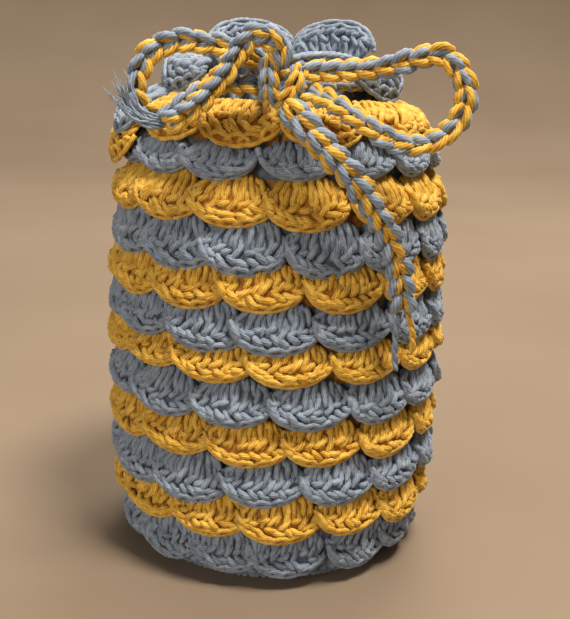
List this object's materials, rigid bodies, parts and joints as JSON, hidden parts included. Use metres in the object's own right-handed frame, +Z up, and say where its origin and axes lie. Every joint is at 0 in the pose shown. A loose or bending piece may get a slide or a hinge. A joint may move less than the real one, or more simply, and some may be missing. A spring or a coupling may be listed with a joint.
{
  "type": "drawstring dice bag",
  "caption": "Round crocheted pouch of overlapping scale rounds in two colours, with a gathered mouth that opens and a chain-stitched drawstring tied in a bow",
  "frame": {"origin": "centre of the flat round base, on the table", "axes": "+Z up along the bag's axis, -Y towards the front, where the bow is tied, +X to the right seen from the front"},
  "size_m": [0.0942, 0.1032, 0.1452],
  "materials": {
    "blue_yarn": "matte spun yarn",
    "yellow_yarn": "matte spun yarn with a slight sheen",
    "drawstring": "two yarns, one blue and one yellow, worked together in chain stitch",
    "frayed_yarn": "combed-out yarn",
    "loose_yarn": "plied yarn"
  },
  "bodies": {
    "bag": {"base_disc": "blue_yarn", "bag_wall": "blue_yarn", "scale_row_1": "blue_yarn", "scale_row_2": "yellow_yarn", "scale_row_3": "blue_yarn", "scale_row_4": "yellow_yarn", "scale_row_5": "blue_yarn", "scale_row_6": "yellow_yarn", "scale_row_7": "blue_yarn", "scale_row_8": "yellow_yarn", "scale_row_9": "blue_yarn", "scale_row_10": "yellow_yarn", "scale_row_11": "blue_yarn"},
    "outer_tongue_body_1": {"outer_tongue_1": "yellow_yarn", "collar_scales_1": "yellow_yarn", "petal_1": "blue_yarn", "neck_cord_1": "drawstring"},
    "outer_tongue_body_2": {"outer_tongue_2": "yellow_yarn", "collar_scales_2": "yellow_yarn", "petal_2": "blue_yarn", "neck_cord_2": "drawstring"},
    "outer_tongue_body_3": {"outer_tongue_3": "yellow_yarn", "collar_scales_3": "yellow_yarn", "petal_3": "blue_yarn", "neck_cord_3": "drawstring"},
    "outer_tongue_body_4": {"outer_tongue_4": "yellow_yarn", "collar_scales_4": "yellow_yarn", "petal_4": "blue_yarn", "neck_cord_4": "drawstring"},
    "outer_tongue_body_5": {"outer_tongue_5": "yellow_yarn", "collar_scales_5": "yellow_yarn", "petal_5": "blue_yarn", "neck_cord_5": "drawstring"},
    "outer_tongue_body_6": {"outer_tongue_6": "yellow_yarn", "collar_scales_6": "yellow_yarn", "petal_6": "blue_yarn", "neck_cord_6": "drawstring"},
    "inner_tongue_body_1": {"inner_tongue_1": "blue_yarn", "hidden_cord_1": "drawstring"},
    "inner_tongue_body_2": {"inner_tongue_2": "blue_yarn", "hidden_cord_2": "drawstring"},
    "inner_tongue_body_3": {"inner_tongue_3": "blue_yarn", "hidden_cord_3": "drawstring"},
    "inner_tongue_body_4": {"inner_tongue_4": "blue_yarn", "hidden_cord_4": "drawstring"},
    "inner_tongue_body_5": {"inner_tongue_5": "blue_yarn"},
    "inner_tongue_body_6": {"inner_tongue_6": "blue_yarn", "hidden_cord_6": "drawstring"},
    "bow": {"bow_knot": "drawstring"},
    "left_loop_body": {"left_loop": "drawstring"},
    "right_loop_body": {"right_loop": "drawstring"},
    "left_tail_body": {"left_tail": "drawstring", "left_fringe": "frayed_yarn"},
    "right_tail_body": {"right_tail": "drawstring", "right_yarn_ends": "loose_yarn"}
  },
  "joints": [
    {"name": "mouth_open", "type": "hinge", "parent": "bag", "child": "outer_tongue_body_1", "pos_m": [0.0362, 0, 0.1174], "axis": [0, 1, 0], "range_deg": [0, 55]},
    {"name": "outer_hinge_2", "type": "hinge", "parent": "bag", "child": "outer_tongue_body_2", "pos_m": [0.0181, 0.03135, 0.1174], "axis": [-0.866, 0.5, 0], "range_deg": [0, 55]},
    {"name": "outer_hinge_3", "type": "hinge", "parent": "bag", "child": "outer_tongue_body_3", "pos_m": [-0.0181, 0.03135, 0.1174], "axis": [-0.866, -0.5, 0], "range_deg": [0, 55]},
    {"name": "outer_hinge_4", "type": "hinge", "parent": "bag", "child": "outer_tongue_body_4", "pos_m": [-0.0362, 0, 0.1174], "axis": [0, -1, 0], "range_deg": [0, 55]},
    {"name": "outer_hinge_5", "type": "hinge", "parent": "bag", "child": "outer_tongue_body_5", "pos_m": [-0.0181, -0.03135, 0.1174], "axis": [0.866, -0.5, 0], "range_deg": [0, 55]},
    {"name": "outer_hinge_6", "type": "hinge", "parent": "bag", "child": "outer_tongue_body_6", "pos_m": [0.0181, -0.03135, 0.1174], "axis": [0.866, 0.5, 0], "range_deg": [0, 55]},
    {"name": "inner_hinge_1", "type": "hinge", "parent": "bag", "child": "inner_tongue_body_1", "pos_m": [0.02823, 0.0163, 0.1146], "axis": [-0.5, 0.866, 0], "range_deg": [0, 55]},
    {"name": "inner_hinge_2", "type": "hinge", "parent": "bag", "child": "inner_tongue_body_2", "pos_m": [0, 0.0326, 0.1146], "axis": [-1, 0, 0], "range_deg": [0, 55]},
    {"name": "inner_hinge_3", "type": "hinge", "parent": "bag", "child": "inner_tongue_body_3", "pos_m": [-0.02823, 0.0163, 0.1146], "axis": [-0.5, -0.866, 0], "range_deg": [0, 55]},
    {"name": "inner_hinge_4", "type": "hinge", "parent": "bag", "child": "inner_tongue_body_4", "pos_m": [-0.02823, -0.0163, 0.1146], "axis": [0.5, -0.866, 0], "range_deg": [0, 55]},
    {"name": "inner_hinge_5", "type": "hinge", "parent": "bag", "child": "inner_tongue_body_5", "pos_m": [0, -0.0326, 0.1146], "axis": [1, 0, 0], "range_deg": [0, 55]},
    {"name": "inner_hinge_6", "type": "hinge", "parent": "bag", "child": "inner_tongue_body_6", "pos_m": [0.02823, -0.0163, 0.1146], "axis": [0.5, 0.866, 0], "range_deg": [0, 55]},
    {"name": "bow_slide", "type": "slide", "parent": "bag", "child": "bow", "axis": [0, -0.7047, 0.7095], "range_m": [0, 0.0215]},
    {"name": "left_loop_swing", "type": "hinge", "parent": "bow", "child": "left_loop_body", "pos_m": [0, -0.0425, 0.129], "axis": [0, 1, 0], "range_deg": [-8, 10]},
    {"name": "right_loop_swing", "type": "hinge", "parent": "bow", "child": "right_loop_body", "pos_m": [0, -0.0425, 0.129], "axis": [0, 1, 0], "range_deg": [-12, 4]},
    {"name": "left_tail_swing", "type": "hinge", "parent": "bow", "child": "left_tail_body", "pos_m": [0, -0.0425, 0.129], "axis": [0, 1, 0], "range_deg": [-8, 8]},
    {"name": "right_tail_swing", "type": "hinge", "parent": "bow", "child": "right_tail_body", "pos_m": [0, -0.0425, 0.129], "axis": [0, 1, 0], "range_deg": [-5, 4]}
  ],
  "couplings": [
    {"joint": "outer_hinge_2", "follows": "mouth_open", "ratio": 1},
    {"joint": "outer_hinge_3", "follows": "mouth_open", "ratio": 1},
    {"joint": "outer_hinge_4", "follows": "mouth_open", "ratio": 1},
    {"joint": "outer_hinge_5", "follows": "mouth_open", "ratio": 1},
    {"joint": "outer_hinge_6", "follows": "mouth_open", "ratio": 1},
    {"joint": "inner_hinge_1", "follows": "mouth_open", "ratio": 1},
    {"joint": "inner_hinge_2", "follows": "mouth_open", "ratio": 1},
    {"joint": "inner_hinge_3", "follows": "mouth_open", "ratio": 1},
    {"joint": "inner_hinge_4", "follows": "mouth_open", "ratio": 1},
    {"joint": "inner_hinge_5", "follows": "mouth_open", "ratio": 1},
    {"joint": "inner_hinge_6", "follows": "mouth_open", "ratio": 1},
    {"joint": "bow_slide", "follows": "mouth_open", "m_per_rad": 0.021877}
  ]
}
